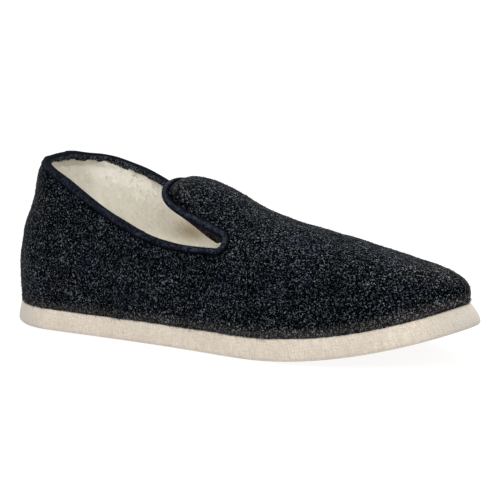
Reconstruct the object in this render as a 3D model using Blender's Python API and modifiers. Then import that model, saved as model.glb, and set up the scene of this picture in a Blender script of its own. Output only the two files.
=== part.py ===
"""House slipper for the right foot: felt upper with a tongue tab, bound collar, felt sole and insole.

Metres, +Z up. +X points to the toe, -Y to the outer side of the foot. The origin is on the floor, under the
middle of the sole's outline.
"""

import bmesh
import bpy
import numpy as np

# An empty scene, with one collection for the pieces
for old in list(bpy.data.objects):
    bpy.data.objects.remove(old)
SLIPPER = bpy.data.collections.new("house_slipper")
bpy.context.scene.collection.children.link(SLIPPER)

MM = 0.001

# Driving sizes
LENGTH = 270 * MM
SOLE_THICKNESS = 11 * MM
INSOLE_THICKNESS = 5 * MM
TOE_SPRING = 19 * MM
SPRING_START = 0.59  # share of the length that lies flat on the floor
FIT_GAP = 0.3 * MM  # between pieces that meet

# The last, heel to toe. The half widths are the sole's, before its ends are rounded off. The crown is the
# height of the last's ridge over the floor. Behind the tongue it is where the leg walls would close.
LAST_COLUMNS = ("station", "lateral_mm", "medial_mm", "crown_mm")
LAST_ROWS = (
    (0.00, 32.6, 32.6, 154.5),
    (0.15, 35.2, 33.5, 154.5),
    (0.30, 36.3, 33.3, 111.0),
    (0.42, 38.0, 34.6, 87.0),
    (0.55, 41.4, 40.2, 66.5),
    (0.68, 45.7, 46.8, 57.3),
    (0.80, 47.4, 49.2, 50.7),
    (0.90, 47.4, 49.8, 45.9),
    (1.00, 46.0, 46.4, 41.7),
)
TIP_SHIFT = 0.3 * MM  # of the toe tip, towards the inner side
GIRTH_POWER = 2.3  # of the superellipse that every section is

# Reach and power of the rounded ends of the outline, seen from above, and of the nose, seen from the side
HEEL_REACH = 34 * MM
HEEL_POWER = 2.1
TOE_REACH = 125 * MM
TOE_POWER = 1.78
NOSE_REACH = 24 * MM
NOSE_POWER = 2.5

# How the upper leaves the sole and leans
SIDE_BULGE = 1.8 * MM
BULGE_HEIGHT = 45 * MM
HEEL_LEAN = 21 * MM
HEEL_BULGE = 1.2 * MM
HEEL_LEAN_HEIGHT = 77 * MM
HEEL_LEAN_FADE = 0.36
MOST_CLIMB = 1.2  # in heel lean heights, where the lean stops growing

# The cut edge of the collar, from the upper's heel to the notch beside the tongue
COLLAR_COLUMNS = ("station", "lateral_mm", "medial_mm")
COLLAR_ROWS = (
    (0.000, 87.4, 87.4),
    (0.030, 87.8, 86.2),
    (0.060, 87.6, 84.8),
    (0.150, 81.3, 80.4),
    (0.260, 66.9, 72.0),
    (0.380, 54.4, 55.8),
    (0.460, 51.6, 51.4),
    (0.529, 51.2, 51.2),
)
NOTCH_RADIUS = 2.9 * MM
TONGUE_TIP = 0.359
TONGUE_POWER = 3.2
TONGUE_DROOP = 20 * MM

# Walls and tape
WALL = 5.5 * MM  # felt with its deep pile lining
EDGE_WALL = 2.8 * MM  # the same wall, pressed flat under the binding
EDGE_REACH = 14 * MM
TAPE = 0.9 * MM
TAPE_LEG = 2.6 * MM
TAPE_GAP = 0.4 * MM  # between the tape and the felt's facets
TAPE_CAP_ANGLES = np.radians((25, 65, 115, 155))  # of the points that round the tape over the edge

# Inset of an outline from the sole's widest one, at the side, the heel and the toe
FEATHER_INSET = np.array((1.8, 2.2, 6.0)) * MM
INSOLE_INSET = np.array((8.2, 8.6, 19.0)) * MM
SOLE_EDGE_ROUND = np.array((2.0, 2.6, 1.4)) * MM
SOLE_TOP_ROUND = 0.8 * MM
SOLE_LEDGE = 0.2 * MM  # of the sole beyond the upper, before its top edge is rounded
SOLE_LEVELS = (0.0, 0.05, 0.14, 0.27, 0.42, 0.70, 0.95, 1.0)  # shares of the thickness

# Steps for measuring the slope of the upper's face
PROBE_STEP = 0.02 * MM
PROBE_TURN = 1e-4

# Points nearer than the weld are one point, and an edge that turns more than the sharp angle is a crease
WELD = 0.001 * MM
SHARP_ANGLE = np.radians(40)

# Mesh counts
OUTLINE_COUNT = 40
QUARTER_COUNT = 28
TONGUE_COUNT = 20
VAMP_COUNT = 24
WALL_ROWS = 9  # feather to notch height
CROWN_ROWS = 7  # notch height to ridge
SIDE_NAMES = {-1: "lateral_mm", 1: "medial_mm"}

# Finishes: colour, roughness
FELT_FINISH = ((0.020, 0.021, 0.024), 0.95)
BINDING_FINISH = ((0.008, 0.010, 0.018), 0.70)
SOLE_FINISH = ((0.72, 0.65, 0.55), 0.92)
INSOLE_FINISH = ((0.76, 0.71, 0.60), 0.95)


def table_curve(columns, rows, name, station):
    """Natural cubic spline through one column of a table, against its station."""
    xs = np.array([row[0] for row in rows])
    ys = np.array([row[columns.index(name)] for row in rows]) * MM
    gap = np.diff(xs)
    slope = np.diff(ys) / gap
    system = np.eye(len(xs))
    bend = np.zeros(len(xs))
    for i in range(1, len(xs) - 1):
        system[i, i - 1 : i + 2] = gap[i - 1], 2 * (gap[i - 1] + gap[i]), gap[i]
        bend[i] = 6 * (slope[i] - slope[i - 1])
    bend = np.linalg.solve(system, bend)
    i = np.clip(np.searchsorted(xs, station) - 1, 0, len(gap) - 1)
    before, after, h = station - xs[i], xs[i + 1] - station, gap[i]
    curved = (bend[i] * after**3 + bend[i + 1] * before**3) / (6 * h)
    return curved + (ys[i] / h - bend[i] * h / 6) * after + (ys[i + 1] / h - bend[i + 1] * h / 6) * before


def eased(start, end, count):
    """Values from start to end, close together at both ends."""
    return start + (end - start) * (1 - np.cos(np.pi * np.linspace(0, 1, count))) / 2


def end_round(distance, reach, power):
    """0 at the end of an outline and 1 from reach inwards, along a superellipse."""
    return (1 - np.clip(1 - distance / reach, 0, 1) ** power) ** (1 / power)


def sole_rise(x):
    """Height of the toe spring at a distance from the heel."""
    return TOE_SPRING * np.clip((x / LENGTH - SPRING_START) / (1 - SPRING_START), 0, None) ** 2


def centre_line(x):
    """Sideways place of the last's middle, which turns to the inner side at the toe."""
    return TIP_SHIFT * np.clip(2 * x / LENGTH - 1, 0, None) ** 2


def half_width(x, side, inset):
    """Half width of the outline, at an inset for the side, the heel and the toe."""
    at_side, at_heel, at_toe = inset
    width = table_curve(LAST_COLUMNS, LAST_ROWS, SIDE_NAMES[side], x / LENGTH)
    heel = end_round(x - at_heel, HEEL_REACH, HEEL_POWER)
    toe = end_round(LENGTH - at_toe - x, TOE_REACH, TOE_POWER)
    return (width - at_side) * heel * toe


def outline(inset, height):
    """Closed loop of points round the outline, lateral side first, at a height over the sole's curve."""
    x = eased(inset[1], LENGTH - inset[2], OUTLINE_COUNT)
    sides = [np.stack([x, centre_line(x) + side * half_width(x, side, inset), sole_rise(x) + height], -1)
             for side in SIDE_NAMES]
    return np.concatenate([sides[0], sides[1][-2:0:-1]])


def feather_height(x):
    """Height of the line where the upper meets the sole."""
    return sole_rise(x) + SOLE_THICKNESS + FIT_GAP


def crown_height(x, droop=0.0):
    """Height of the last's ridge, rounded down at the nose. A droop lowers the tongue, behind the notch."""
    ridge = table_curve(LAST_COLUMNS, LAST_ROWS, "crown_mm", x / LENGTH)
    behind = np.clip((NOTCH - x) / (NOTCH - TIP), 0, None)
    nose = end_round(LENGTH - FEATHER_INSET[2] - x, NOSE_REACH, NOSE_POWER)
    return feather_height(x) + (ridge - droop * behind**2 - feather_height(x)) * nose


def upper_point(x, angle, side, droop=0.0):
    """Point of the upper's outer face. The angle is 0 at the ridge and a quarter turn at the feather line."""
    up = (crown_height(x, droop) - feather_height(x)) * np.cos(angle) ** (2 / GIRTH_POWER)
    width = half_width(x, side, FEATHER_INSET)
    swell = SIDE_BULGE * np.sin(np.pi * np.clip(up / BULGE_HEIGHT, 0, 1)) * np.clip(width / HEEL_REACH, 0, 1)
    round_over = np.sign(angle) * np.abs(np.sin(angle)) ** (2 / GIRTH_POWER)
    y = centre_line(x) + side * (width * round_over + swell * np.sin(angle))
    fade = np.clip(1 - x / LENGTH / HEEL_LEAN_FADE, 0, 1) ** 2
    climb = np.clip(up / HEEL_LEAN_HEIGHT, 0, MOST_CLIMB)
    lean = HEEL_LEAN * climb**2 - 4 * HEEL_BULGE * climb * (1 - climb)
    return np.stack([x + fade * lean, y, feather_height(x) + up], -1)


def angle_at(x, height):
    """Girth angle where the wall reaches a height."""
    share = np.clip((height - feather_height(x)) / (crown_height(x) - feather_height(x)), 0, 1)
    return np.arccos(share ** (GIRTH_POWER / 2))


def notch_arc(x):
    """0 along the collar and 1 at the notch's tip, on a quarter circle."""
    near = np.clip(1 - (NOTCH - x) / NOTCH_RADIUS, 0, 1)
    return 1 - np.sqrt(1 - near**2)


def collar_angle(x, side):
    """Girth angle of the collar's cut edge, which turns up into the notch."""
    height = table_curve(COLLAR_COLUMNS, COLLAR_ROWS, SIDE_NAMES[side], (x - HEEL_BACK) / LENGTH)
    return angle_at(x, height) + (NOTCH_ANGLE - angle_at(NOTCH, NOTCH_LOW)) * notch_arc(x)


def tongue_angle(x):
    """Girth angle of the tongue's cut edge, from its round tip down into the notch."""
    top = angle_at(NOTCH, NOTCH_LOW + 2 * NOTCH_RADIUS)
    return top * end_round(x - TIP, NOTCH - TIP, TONGUE_POWER) + (NOTCH_ANGLE - top) * notch_arc(x)


HEEL_BACK = FEATHER_INSET[1]
NOTCH = HEEL_BACK + COLLAR_ROWS[-1][0] * LENGTH
TIP = TONGUE_TIP * LENGTH
NOTCH_LOW = COLLAR_ROWS[-1][1] * MM
NOTCH_ANGLE = angle_at(NOTCH, NOTCH_LOW + NOTCH_RADIUS)
TOE_FRONT = LENGTH - FEATHER_INSET[2]
SOLE_SIDES = outline(np.zeros(3), 0)[:, 1]
ORIGIN = np.array((LENGTH / 2, (SOLE_SIDES.min() + SOLE_SIDES.max()) / 2, 0.0))


def new_object(name, points, faces, finish):
    """Mesh object in the part's frame, welded, with its faces pointing out and its own material."""
    mesh = bpy.data.meshes.new(name)
    mesh.from_pydata([tuple(p) for p in np.asarray(points) - ORIGIN], [], faces)
    shape = bmesh.new()
    shape.from_mesh(mesh)
    bmesh.ops.remove_doubles(shape, verts=shape.verts, dist=WELD)
    bmesh.ops.dissolve_degenerate(shape, edges=shape.edges, dist=WELD)
    bmesh.ops.recalc_face_normals(shape, faces=shape.faces)
    shape.to_mesh(mesh)
    shape.free()
    mesh.shade_smooth()
    mesh.set_sharp_from_angle(angle=SHARP_ANGLE)
    colour, roughness = finish
    material = bpy.data.materials.new(name)
    material.use_nodes = True
    shader = material.node_tree.nodes["Principled BSDF"]
    shader.inputs["Base Color"].default_value = (*colour, 1)
    shader.inputs["Roughness"].default_value = roughness
    mesh.materials.append(material)
    made = bpy.data.objects.new(name, mesh)
    SLIPPER.objects.link(made)
    return made


def grid_faces(rows, columns, start=0, closed=False):
    """Quads of a grid stored row after row. A closed grid joins its last column to its first."""
    faces = []
    for r in range(rows - 1):
        for c in range(columns if closed else columns - 1):
            a, b = start + r * columns + c, start + r * columns + (c + 1) % columns
            faces.append((a, b, b + columns, a + columns))
    return faces


def cap_faces(start):
    """Strips across a closed outline, from its lateral side to its medial one."""
    loop = 2 * (OUTLINE_COUNT - 1)
    faces = []
    for i in range(OUTLINE_COUNT - 1):
        ends = [i, i + 1, loop - i - 1, (loop - i) % loop]
        faces.append([start + k for k in dict.fromkeys(ends)])
    return faces


def slab(name, insets, heights, finish):
    """Solid stacked from outlines that follow the sole's curve, one for each inset and height."""
    loops = [outline(inset, height) for inset, height in zip(insets, heights)]
    loop = len(loops[0])
    faces = grid_faces(len(loops), loop, closed=True)
    faces += cap_faces(0) + cap_faces((len(loops) - 1) * loop)
    return new_object(name, np.concatenate(loops), faces, finish)


def edge_round(radius, distance):
    """How far a rounded edge has drawn back, at a distance from its face."""
    return radius * (1 - np.sqrt(1 - np.clip(1 - distance / radius, 0, 1) ** 2))


def make_sole():
    """Thick felt sole: round edges, sides that flare to the floor, toe spring, flat heel and forefoot."""
    heights = [level * SOLE_THICKNESS for level in SOLE_LEVELS]
    insets = []
    for height in heights:
        flare = (FEATHER_INSET - SOLE_LEDGE) * height / SOLE_THICKNESS
        rounding = edge_round(SOLE_EDGE_ROUND, height) + edge_round(SOLE_TOP_ROUND, SOLE_THICKNESS - height)
        insets.append(flare + rounding)
    widest = np.min(insets, axis=0)
    return slab("sole", [inset - widest for inset in insets], heights, SOLE_FINISH)


def make_insole():
    """Padded footbed inside the upper's walls, on the sole."""
    bottom = SOLE_THICKNESS + FIT_GAP
    return slab("insole", [INSOLE_INSET] * 2, [bottom, bottom + INSOLE_THICKNESS], INSOLE_FINISH)


def patch(x, first_angle, last_angle, rows, side, droop=0.0):
    """Grid of points on the upper: a column for each x, rows from the first angle to the last."""
    share = np.linspace(0, 1, rows + 1)[:, None]
    angles = first_angle + (last_angle - first_angle) * share + np.zeros_like(x)
    return upper_point(np.broadcast_to(x, angles.shape), angles, side, droop)


def upper_patches():
    """The upper's outer face in patches: on each side the quarter, the lower and upper vamp, the tongue."""
    feather = np.pi / 2
    quarter = eased(HEEL_BACK, NOTCH, QUARTER_COUNT)
    vamp = NOTCH + (TOE_FRONT - NOTCH) * np.sin(np.linspace(0, np.pi / 2, VAMP_COUNT))
    tongue = eased(TIP, NOTCH, TONGUE_COUNT)
    for side in SIDE_NAMES:
        yield patch(quarter, feather, collar_angle(quarter, side), WALL_ROWS, side)
        yield patch(vamp, feather, NOTCH_ANGLE, WALL_ROWS, side)
        yield patch(vamp, NOTCH_ANGLE, 0.0, CROWN_ROWS, side)
        yield patch(tongue, tongue_angle(tongue), 0.0, CROWN_ROWS, side, TONGUE_DROOP)


def opening_edge():
    """Closed path of the cut edge, as x, angle, side and droop: lateral collar, tongue, medial collar."""
    quarter = eased(HEEL_BACK, NOTCH, QUARTER_COUNT)
    tongue = eased(TIP, NOTCH, TONGUE_COUNT)[-2::-1]
    path = {}
    for side in SIDE_NAMES:
        collar = [(x, angle, side, 0.0) for x, angle in zip(quarter, collar_angle(quarter, side))]
        tab = [(x, angle, side, TONGUE_DROOP) for x, angle in zip(tongue, tongue_angle(tongue))]
        path[side] = collar + tab
    return np.array(path[-1] + path[1][-2:0:-1])


def wall_at(distance):
    """Wall thickness at a distance from the cut edge."""
    return EDGE_WALL + (WALL - EDGE_WALL) * np.clip(distance / EDGE_REACH, 0, 1)


def make_upper():
    """Hollow felt upper, open at the collar and underneath, with the tongue tab in one piece with it."""
    points, faces = [], []
    for grid in upper_patches():
        rows, columns = grid.shape[:2]
        faces += grid_faces(rows, columns, len(points))
        points += list(grid.reshape(-1, 3))
    upper = new_object("upper", points, faces, FELT_FINISH)
    edge = surface_points(opening_edge()) - ORIGIN
    places = np.array([v.co for v in upper.data.vertices])
    away = np.linalg.norm(places[:, None] - edge[None], axis=-1).min(axis=1)
    wall = upper.vertex_groups.new(name="wall")
    for index, thickness in enumerate(wall_at(away)):
        wall.add([index], thickness / WALL, "REPLACE")
    shell = upper.modifiers.new("wall", "SOLIDIFY")
    shell.thickness = WALL
    shell.offset = -1
    shell.vertex_group = wall.name
    shell.use_quality_normals = True
    return upper


def surface_points(places):
    """Points of the upper's outer face at rows of x, angle, side and droop."""
    return np.array([upper_point(*place) for place in places])


def unit(vectors):
    """The same vectors, one unit long."""
    return vectors / np.linalg.norm(vectors, axis=-1, keepdims=True)


def edge_frame(places):
    """Points at these places, outward normals, and the slopes along x and round the girth."""
    points = surface_points(places)
    along = (surface_points(places + (PROBE_STEP, 0, 0, 0)) - points) / PROBE_STEP
    around = (surface_points(places + (0, PROBE_TURN, 0, 0)) - points) / PROBE_TURN
    normals = places[:, 2:3] * unit(np.cross(along, around))
    return points, normals, np.stack([along, around], -1)


def make_binding():
    """Tape folded over the cut edge all round the opening, one closed ring of a U-shaped section."""
    edge = opening_edge()
    points, normals, span = edge_frame(edge)
    outwards = unit(np.cross(normals, np.roll(points, -1, 0) - np.roll(points, 1, 0)))
    down = edge.copy()
    down[:, :2] -= (np.linalg.pinv(span) @ (TAPE_LEG * outwards)[..., None])[..., 0]
    leg_points, leg_normals, _ = edge_frame(down)
    inner, inner_leg = wall_at(0) + TAPE_GAP, wall_at(TAPE_LEG) + TAPE_GAP
    middle = points - EDGE_WALL / 2 * normals
    reach = EDGE_WALL / 2 + TAPE_GAP + TAPE
    lift = TAPE_GAP + TAPE
    section = [
        leg_points + TAPE_GAP * leg_normals,
        leg_points + (TAPE_GAP + TAPE) * leg_normals,
        points + (TAPE_GAP + TAPE) * normals,
        *[middle + reach * np.cos(a) * normals + lift * np.sin(a) * outwards for a in TAPE_CAP_ANGLES],
        points - (inner + TAPE) * normals,
        leg_points - (inner_leg + TAPE) * leg_normals,
        leg_points - inner_leg * leg_normals,
        points - inner * normals + TAPE_GAP * outwards,
        points + TAPE_GAP * normals + TAPE_GAP * outwards,
    ]
    section.append(section[0])
    faces = grid_faces(len(section), len(points), closed=True)
    return new_object("collar_binding", np.concatenate(section), faces, BINDING_FINISH)


def main():
    make_sole()
    make_insole()
    make_upper()
    make_binding()


main()
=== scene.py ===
import math

import bpy
import numpy as np
from mathutils import Matrix, Vector


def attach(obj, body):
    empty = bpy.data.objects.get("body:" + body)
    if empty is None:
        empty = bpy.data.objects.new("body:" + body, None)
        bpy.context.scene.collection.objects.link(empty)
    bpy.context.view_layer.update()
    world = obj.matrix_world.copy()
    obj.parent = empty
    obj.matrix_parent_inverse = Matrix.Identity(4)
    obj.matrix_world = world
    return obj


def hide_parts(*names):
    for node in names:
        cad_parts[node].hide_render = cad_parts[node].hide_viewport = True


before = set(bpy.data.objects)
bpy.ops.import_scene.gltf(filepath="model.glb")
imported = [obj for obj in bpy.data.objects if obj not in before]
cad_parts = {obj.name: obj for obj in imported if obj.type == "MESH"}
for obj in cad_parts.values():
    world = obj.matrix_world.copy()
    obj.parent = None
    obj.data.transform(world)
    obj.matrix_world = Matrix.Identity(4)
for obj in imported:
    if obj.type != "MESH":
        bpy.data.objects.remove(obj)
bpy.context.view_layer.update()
mm = 0.001
tiny = 1e-9  # a weight next to nothing, for places that are left out
print("frame loaded:", ", ".join(sorted(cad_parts)))

# values in the settings that belong together: a pair whose name ends in Run, Edge, Rise, Up, Proud or Range
# is where a smooth step starts and ends, and one that ends in Tones is what it starts and ends with; a band
# is the place and reach of a bell curve, wavers, lumps, tufts and the like are wavelength and height, clouds
# and patches are scale, low and high, and a bump is strength and depth

# camera: where it stands, seen from the slipper, and where the aim point falls in the 500 pixel frame
view = {
    "azimuth": 33.45,
    "elevation": 11.70,
    "roll": 1.87,
    "distance": 1.0484,
    "aimHeight": 35 * mm,
    "lens": 148.5,
    "aimPixel": (238.73, 268.37),
    "framePixels": 500,
    "clipEnd": 50,
}


def makeCamera(aim):
    # axes from the two angles, then both picture axes turned by the roll
    azimuth, elevation, roll = (math.radians(view[k]) for k in ("azimuth", "elevation", "roll"))
    flat = math.cos(elevation)
    back = Vector((math.sin(azimuth) * flat, -math.cos(azimuth) * flat, math.sin(elevation)))
    right = Vector((math.cos(azimuth), math.sin(azimuth), 0))
    up = back.cross(right)
    rolledRight = right * math.cos(roll) - up * math.sin(roll)
    rolledUp = right * math.sin(roll) + up * math.cos(roll)
    camera = bpy.data.cameras.new("camera")
    camera.lens = view["lens"]
    half = view["framePixels"] / 2
    camera.shift_x = (half - view["aimPixel"][0]) / view["framePixels"]
    camera.shift_y = (view["aimPixel"][1] - half) / view["framePixels"]
    camera.clip_end = view["clipEnd"]
    stand = bpy.data.objects.new("camera", camera)
    turned = Matrix((rolledRight, rolledUp, back)).transposed().to_4x4()
    stand.matrix_world = Matrix.Translation(aim + back * view["distance"]) @ turned
    bpy.context.scene.collection.objects.link(stand)
    bpy.context.scene.camera = stand


# the last, as in the solids: widths in mm at shares of the length, heel to toe
last = {
    "length": 270 * mm,
    "soleThickness": 11 * mm,
    "toeThick": 0.7 * mm,
    "thickStart": 0.8,
    "insoleThickness": 5 * mm,
    "toeSpring": 19 * mm,
    "springStart": 0.59,
    "fitGap": 0.3 * mm,
    "station": (0.00, 0.15, 0.30, 0.42, 0.55, 0.68, 0.80, 0.90, 1.00),
    "outerHalf": (32.6, 35.2, 36.3, 38.0, 41.4, 45.7, 47.4, 47.4, 46.0),
    "innerHalf": (32.6, 33.5, 33.3, 34.6, 40.2, 46.8, 49.2, 49.8, 46.4),
    "ridge": (154.5, 154.5, 111.0, 87.0, 66.5, 57.3, 50.7, 45.9, 41.7),
    "tipShift": 0.3 * mm,
    "girthPower": 2.3,
    "heelReach": 34 * mm,
    "heelPower": 2.1,
    "toeReach": 125 * mm,
    "toePower": 1.78,
    "noseReach": 24 * mm,
    "nosePower": 2.5,
    "sideBulge": 1.8 * mm,
    "bulgeHeight": 45 * mm,
    "heelLean": 21 * mm,
    "heelBulge": 1.2 * mm,
    "leanHeight": 77 * mm,
    "leanFade": 0.36,
    "mostClimb": 1.2,
    "featherInset": np.array((1.8, 2.2, 6.0)) * mm,  # side, heel, toe
    "outlineCount": 400,
}

# the opening: height of the collar's cut edge in mm, from the heel to the notch beside the tongue
opening = {
    "station": (0.000, 0.030, 0.060, 0.150, 0.260, 0.380, 0.460, 0.529),
    "outerEdge": (88.7, 89.2, 88.2, 81.3, 66.9, 54.4, 51.6, 51.2),
    "innerEdge": (88.7, 86.2, 84.8, 80.4, 72.0, 55.8, 51.4, 51.2),
    "notchRadius": 2.6 * mm,
    "tongueTip": 0.363,
    "tonguePower": 3.3,
    "tongueDroop": 18.6 * mm,
    "heelTuck": 1.6 * mm,
    "tuckRun": (-94 * mm, -110 * mm),
    "tuckBand": (24 * mm, 10.5 * mm),
    "heelRoll": 1.7 * mm,
    "rollDown": 5 * mm,
    "fineCount": 1600,
    "nearStep": 0.6 * mm,
}

# meshes: points that round to the same step of weld are joined; waves make up the soft noise
meshing = {"weld": 0.002 * mm, "waves": 28, "waveSpread": (0.7, 1.5)}


def naturalSpline(xs, ys, at):
    # natural cubic through a short table: bends from one tridiagonal system, then the cubic of each span
    xs, ys = np.array(xs, float), np.array(ys, float)
    gap = np.diff(xs)
    slope = np.diff(ys) / gap
    inner = np.arange(1, len(xs) - 1)
    system = np.eye(len(xs))
    system[inner, inner - 1] = gap[:-1]
    system[inner, inner] = 2 * (gap[:-1] + gap[1:])
    system[inner, inner + 1] = gap[1:]
    bend = np.linalg.solve(system, np.concatenate([[0], 6 * np.diff(slope), [0]]))
    i = np.clip(np.searchsorted(xs, at) - 1, 0, len(gap) - 1)
    before, after, h = at - xs[i], xs[i + 1] - at, gap[i]
    curved = (bend[i] * after**3 + bend[i + 1] * before**3) / (6 * h)
    return curved + (ys[i] / h - bend[i] * h / 6) * after + (ys[i + 1] / h - bend[i + 1] * h / 6) * before


def unit(vectors, shortest=1e-12):
    # the same vectors, one unit long
    return vectors / np.maximum(np.linalg.norm(vectors, axis=-1, keepdims=True), shortest)


def runAlong(points):
    # length of a line of points up to each of them, the steps added up
    return np.concatenate([[0], np.cumsum(np.linalg.norm(np.diff(points, axis=0), axis=1))])


def spread(start, end, count):
    # half a cosine wave from start to end, so the values crowd at both ends
    return start + (end - start) * (1 - np.cos(np.pi * np.linspace(0, 1, count))) / 2


def smooth(low, high, value):
    # 0 below low, 1 above high, and the cubic 3t^2 - 2t^3 between
    t = np.clip((value - low) / (high - low), 0, 1)
    return t * t * (3 - 2 * t)


def bell(value, place, reach):
    # bell curve: e to the minus square of the way from its place over its reach
    return np.exp(-(((value - place) / reach) ** 2))


def endRound(distance, reach, power):
    # superellipse quarter: 0 at the end of an outline, 1 from reach inwards
    return (1 - np.clip(1 - distance / reach, 0, 1) ** power) ** (1 / power)


def soleRise(x):
    # toe spring: a parabola from the end of the flat stretch
    sprung = (x / last["length"] - last["springStart"]) / (1 - last["springStart"])
    return last["toeSpring"] * np.clip(sprung, 0, None) ** 2


def centreLine(x):
    # sideways turn of the toe, a parabola over the front half
    return last["tipShift"] * np.clip(2 * x / last["length"] - 1, 0, None) ** 2


def halfWidth(x, side, inset):
    # width spline less the side inset, times the superellipse ends at the heel and the toe
    share = x / last["length"]
    outer = naturalSpline(last["station"], last["outerHalf"], share)
    inner = naturalSpline(last["station"], last["innerHalf"], share)
    heel = endRound(x - inset[1], last["heelReach"], last["heelPower"])
    toe = endRound(last["length"] - inset[2] - x, last["toeReach"], last["toePower"])
    return (np.where(np.asarray(side) < 0, outer, inner) * mm - inset[0]) * heel * toe


def soleTop(x):
    # thickness of the sole, by a smooth step a little more under the toe
    return last["soleThickness"] + last["toeThick"] * smooth(last["thickStart"], 1, x / last["length"])


def featherHeight(x):
    # the line where the upper meets the sole
    return soleRise(x) + soleTop(x) + last["fitGap"]


def crownHeight(x, droop=0.0):
    # ridge spline less the tongue's droop, drawn down to the feather line by the nose's superellipse
    ridge = naturalSpline(last["station"], last["ridge"], x / last["length"]) * mm
    behind = np.clip((notch - x) / (notch - tip), 0, None)
    nose = endRound(last["length"] - last["featherInset"][2] - x, last["noseReach"], last["nosePower"])
    return featherHeight(x) + (ridge - droop * behind**2 - featherHeight(x)) * nose


def upperPoint(x, angle, side, droop=0.0):
    # superellipse section round the girth, 0 at the ridge and a quarter turn at the feather line,
    # swollen a little at the sides and leaned forward at the heel
    low = featherHeight(x)
    power = 2 / last["girthPower"]
    up = (crownHeight(x, droop) - low) * np.clip(np.cos(angle), 0, 1) ** power
    width = halfWidth(x, side, last["featherInset"])
    full = np.clip(width / last["heelReach"], 0, 1)
    swell = last["sideBulge"] * np.sin(np.pi * np.clip(up / last["bulgeHeight"], 0, 1)) * full
    over = np.sign(angle) * np.abs(np.sin(angle)) ** power
    y = centreLine(x) + side * (width * over + swell * np.sin(angle))
    fade = np.clip(1 - x / last["length"] / last["leanFade"], 0, 1) ** 2
    climb = np.clip(up / last["leanHeight"], 0, last["mostClimb"])
    lean = last["heelLean"] * climb**2 - 4 * last["heelBulge"] * climb * (1 - climb)
    return np.stack([x + fade * lean, y, low + up], -1) - origin


def angleAt(x, height):
    # girth angle where the wall reaches a height, the superellipse solved backwards
    share = np.clip((height - featherHeight(x)) / (crownHeight(x) - featherHeight(x)), 0, 1)
    return np.arccos(share ** (last["girthPower"] / 2))


def notchArc(x):
    # quarter circle: 0 along the collar, 1 at the notch's tip
    near = np.clip(1 - (notch - x) / opening["notchRadius"], 0, 1)
    return 1 - np.sqrt(1 - near**2)


def collarAngle(x, side):
    # girth angle of the collar's cut edge, turned up into the notch
    edge = opening["outerEdge"] if side < 0 else opening["innerEdge"]
    height = naturalSpline(opening["station"], edge, (x - heelBack) / last["length"]) * mm
    return angleAt(x, height) + (notchAngle - angleAt(notch, notchLow)) * notchArc(x)


def tongueAngle(x):
    # girth angle of the tongue's cut edge: a superellipse from its tip, turned down into the notch
    top = angleAt(notch, notchLow + 2 * opening["notchRadius"])
    return top * endRound(x - tip, notch - tip, opening["tonguePower"]) + (notchAngle - top) * notchArc(x)


heelBack = last["featherInset"][1]
toeFront = last["length"] - last["featherInset"][2]
notch = heelBack + opening["station"][-1] * last["length"]
tip = opening["tongueTip"] * last["length"]
notchLow = opening["outerEdge"][-1] * mm
notchAngle = angleAt(notch, notchLow + opening["notchRadius"])
outlineX = spread(0, last["length"], last["outlineCount"])
sideReach = [centreLine(outlineX) + s * halfWidth(outlineX, s, np.zeros(3)) for s in (-1, 1)]
origin = np.array((last["length"] / 2, (sideReach[0].min() + sideReach[1].max()) / 2, 0))
aim = Vector((0, -origin[1], view["aimHeight"]))
makeCamera(aim)
print("camera placed")


def gridQuads(rows, columns, start=0, flip=False, closed=False):
    # corners of every cell of a grid stored row after row
    wide = columns if closed else columns - 1
    row, column = np.meshgrid(np.arange(rows - 1), np.arange(wide), indexing="ij")
    a = start + row * columns + column
    b = start + row * columns + (column + 1) % columns
    quads = np.stack([a, b, b + columns, a + columns], -1).reshape(-1, 4)
    return quads[:, ::-1] if flip else quads


def weld(points, quads, *extras):
    # points that round to the same place become one
    key = np.round(points / meshing["weld"]).astype(np.int64)
    first, where = np.unique(key, axis=0, return_index=True, return_inverse=True)[1:]
    return (points[first], where.reshape(-1)[quads], *[extra[first] for extra in extras])


def normalsOf(points, quads):
    # cross product of each cell's diagonals, added up at its corners
    a, b, c, d = (points[quads[:, k]] for k in range(4))
    facing = np.cross(c - a, d - b)
    total = np.zeros_like(points)
    for k in range(4):
        np.add.at(total, quads[:, k], facing)
    return unit(total)


def shell(outer, inner, quads):
    # outer face, inner face turned round, and a strip of cells along every open edge
    count = len(outer)
    ends = np.concatenate([quads[:, [k, (k + 1) % 4]] for k in range(4)])
    ends = ends[ends[:, 0] != ends[:, 1]]
    lone = ends[~np.isin(ends[:, 0] * count + ends[:, 1], ends[:, 1] * count + ends[:, 0])]
    rim = np.stack([lone[:, 1], lone[:, 0], lone[:, 0] + count, lone[:, 1] + count], -1)
    return np.concatenate([outer, inner]), np.concatenate([quads, quads[:, ::-1] + count, rim])


def softNoise(points, wavelength, seed):
    # plane waves in random directions, lengths round the given one, added up to about -1 to 1
    rng = np.random.default_rng(seed)
    count = meshing["waves"]
    direction = unit(rng.normal(size=(count, 3)))
    number = 2 * np.pi / (wavelength * rng.uniform(*meshing["waveSpread"], count))
    phase = rng.uniform(0, 2 * np.pi, count)
    return np.sin(points @ (direction * number[:, None]).T + phase).sum(1) / math.sqrt(2 * count)


def ripples(points, seed, *shapes):
    # soft noises added up, each of its own wavelength and height, with one seed after another
    return sum(height * softNoise(points, size, seed + k) for k, (size, height) in enumerate(shapes))


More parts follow.
